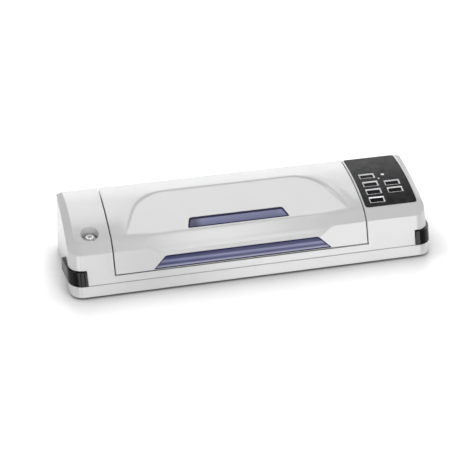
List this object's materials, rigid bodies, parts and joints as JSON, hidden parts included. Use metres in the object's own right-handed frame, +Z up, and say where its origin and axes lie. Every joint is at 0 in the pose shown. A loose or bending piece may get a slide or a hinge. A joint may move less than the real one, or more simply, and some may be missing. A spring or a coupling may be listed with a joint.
{
  "type": "vacuum sealer",
  "caption": "Table-top vacuum sealer: long white housing with a hinged lid, violet sight windows, push-in corner latches, a hose port and a keypad on the right.",
  "frame": {"origin": "on the standing surface, under the middle of the housing's length and depth", "axes": "+X to the right end seen from the front, +Y to the back, +Z up"},
  "size_m": [0.4948, 0.146, 0.0844],
  "materials": {
    "white_plastic": "satin white moulding",
    "inner_plastic": "plain white moulding",
    "black_gloss": "glossy black",
    "panel_black": "fine-textured black",
    "key_black": "black keys",
    "frame_silver": "bright silver",
    "violet_window": "clear violet-blue",
    "white_lens": "milky",
    "red_lens": "clear red",
    "gasket_foam": "closed-cell foam",
    "silicone": "silicone",
    "foot_rubber": "matt black",
    "dark_plastic": "black moulding",
    "heater": "flat resistance strip",
    "tape_cloth": "coated glass cloth",
    "steel": "plain steel",
    "winding": "enamelled copper",
    "plunger_plastic": "natural acetal",
    "board": "circuit board",
    "contact": "brass",
    "tube": "soft tube",
    "lead": "insulated lead"
  },
  "bodies": {
    "base": {"upper_housing": "white_plastic", "lower_housing": "white_plastic", "accessory_port": "inner_plastic", "pump_crankcase": "inner_plastic", "pump_head": "inner_plastic", "transformer_base": "inner_plastic", "control_panel": "panel_black", "button_frames": "frame_silver", "square_lens": "white_lens", "round_lens": "red_lens", "base_gasket": "gasket_foam", "pump_diaphragm": "silicone", "pump_mounts": "silicone", "rubber_feet": "foot_rubber", "sealing_bar": "dark_plastic", "mains_inlet": "dark_plastic", "vacuum_switch": "dark_plastic", "vent_valve": "dark_plastic", "lid_switch": "dark_plastic", "board_components": "dark_plastic", "tact_switches": "dark_plastic", "wire_terminals": "dark_plastic", "heating_wire": "heater", "ptfe_tape": "tape_cloth", "latch_pins": "steel", "latch_springs": "steel", "housing_screws": "steel", "pump_motor": "steel", "pump_bracket": "steel", "transformer_core": "steel", "transformer_winding": "winding", "pump_rod": "plunger_plastic", "button_board": "board", "main_board": "board", "inlet_pins": "contact", "trough_hose": "tube", "port_hose": "tube", "heater_leads": "lead"},
    "lid": {"lid_shell": "white_plastic", "front_window": "violet_window", "upper_window": "violet_window", "hinge_pins": "steel", "lid_inner_panel": "inner_plastic", "lid_gasket": "gasket_foam", "pressure_strip": "silicone", "lid_hooks": "inner_plastic", "lid_screws": "steel"},
    "left_latch": {"latch_left": "black_gloss"},
    "right_latch": {"latch_right": "black_gloss"},
    "pump_rotor": {"pump_shaft": "steel"},
    "valve_plunger": {"vent_plunger": "plunger_plastic"},
    "switch_plunger": {"lid_switch_plunger": "plunger_plastic"},
    "key_left_1": {"button_left_1": "key_black"},
    "key_left_2": {"button_left_2": "key_black"},
    "key_left_3": {"button_left_3": "key_black"},
    "key_left_4": {"button_left_4": "key_black"},
    "key_right_1": {"button_right_1": "key_black"},
    "key_right_2": {"button_right_2": "key_black"}
  },
  "joints": [
    {"name": "lid_hinge", "type": "hinge", "parent": "base", "child": "lid", "pos_m": [0, 0.061, 0.067], "axis": [-1, 0, 0], "range_deg": [0, 72]},
    {"name": "left_latch_pivot", "type": "hinge", "parent": "base", "child": "left_latch", "pos_m": [-0.213, -0.051, 0.025], "axis": [0, 0, -1], "range_deg": [0, 6], "stiffness_Nm_per_rad": 0.8},
    {"name": "right_latch_pivot", "type": "hinge", "parent": "base", "child": "right_latch", "pos_m": [0.213, -0.051, 0.025], "axis": [0, 0, 1], "range_deg": [0, 6], "stiffness_Nm_per_rad": 0.8},
    {"name": "pump_spin", "type": "hinge", "parent": "base", "child": "pump_rotor", "pos_m": [0.189, 0.007, 0.029], "axis": [0, 1, 0], "continuous": true},
    {"name": "valve_stroke", "type": "slide", "parent": "base", "child": "valve_plunger", "axis": [0, 1, 0], "range_m": [0, 0.003], "stiffness_N_per_m": 300},
    {"name": "lid_switch_stroke", "type": "slide", "parent": "base", "child": "switch_plunger", "axis": [0, 0, -1], "range_m": [0, 0.002], "stiffness_N_per_m": 200},
    {"name": "key_left_1_press", "type": "slide", "parent": "base", "child": "key_left_1", "axis": [0, 0.1526, -0.9883], "range_m": [0, 0.0008], "stiffness_N_per_m": 500},
    {"name": "key_left_2_press", "type": "slide", "parent": "base", "child": "key_left_2", "axis": [0, 0.219, -0.9757], "range_m": [0, 0.0008], "stiffness_N_per_m": 500},
    {"name": "key_left_3_press", "type": "slide", "parent": "base", "child": "key_left_3", "axis": [0, 0.2774, -0.9608], "range_m": [0, 0.0008], "stiffness_N_per_m": 500},
    {"name": "key_left_4_press", "type": "slide", "parent": "base", "child": "key_left_4", "axis": [0, 0.335, -0.9422], "range_m": [0, 0.0008], "stiffness_N_per_m": 500},
    {"name": "key_right_1_press", "type": "slide", "parent": "base", "child": "key_right_1", "axis": [0, 0.2254, -0.9743], "range_m": [0, 0.0008], "stiffness_N_per_m": 500},
    {"name": "key_right_2_press", "type": "slide", "parent": "base", "child": "key_right_2", "axis": [0, 0.2798, -0.9601], "range_m": [0, 0.0008], "stiffness_N_per_m": 500}
  ]
}
